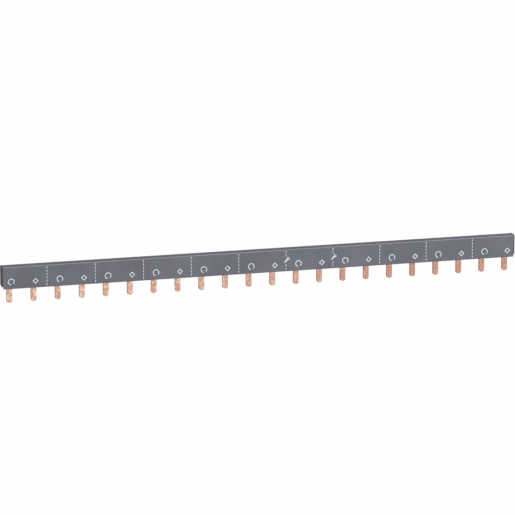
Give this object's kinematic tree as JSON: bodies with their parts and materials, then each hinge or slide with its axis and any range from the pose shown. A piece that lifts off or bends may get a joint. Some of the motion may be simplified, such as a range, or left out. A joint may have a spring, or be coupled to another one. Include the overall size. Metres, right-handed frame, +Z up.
{
  "type": "comb busbar",
  "caption": "Grey insulating bar housing, open below, over copper combs whose round-tipped teeth stand in a straight row to feed neighbouring modular devices.",
  "frame": {"origin": "middle of the row of teeth, in the plane of the teeth, level with the lower edges of the housing's walls", "axes": "+X along the row from the first tooth to the last, +Y from the printed front face to the back, +Z up, away from the teeth's tips"},
  "size_m": [0.39, 0.0083, 0.0279],
  "materials": {
    "housing_plastic": "satin moulded grey plastic",
    "copper": "bare stamped copper, lightly scratched",
    "cap_plastic": "satin moulded dark grey plastic"
  },
  "bodies": {
    "root": {"housing": "housing_plastic", "ring_phase_comb": "copper", "diamond_phase_comb": "copper", "left_end_cap": "cap_plastic", "right_end_cap": "cap_plastic"}
  },
  "joints": []
}
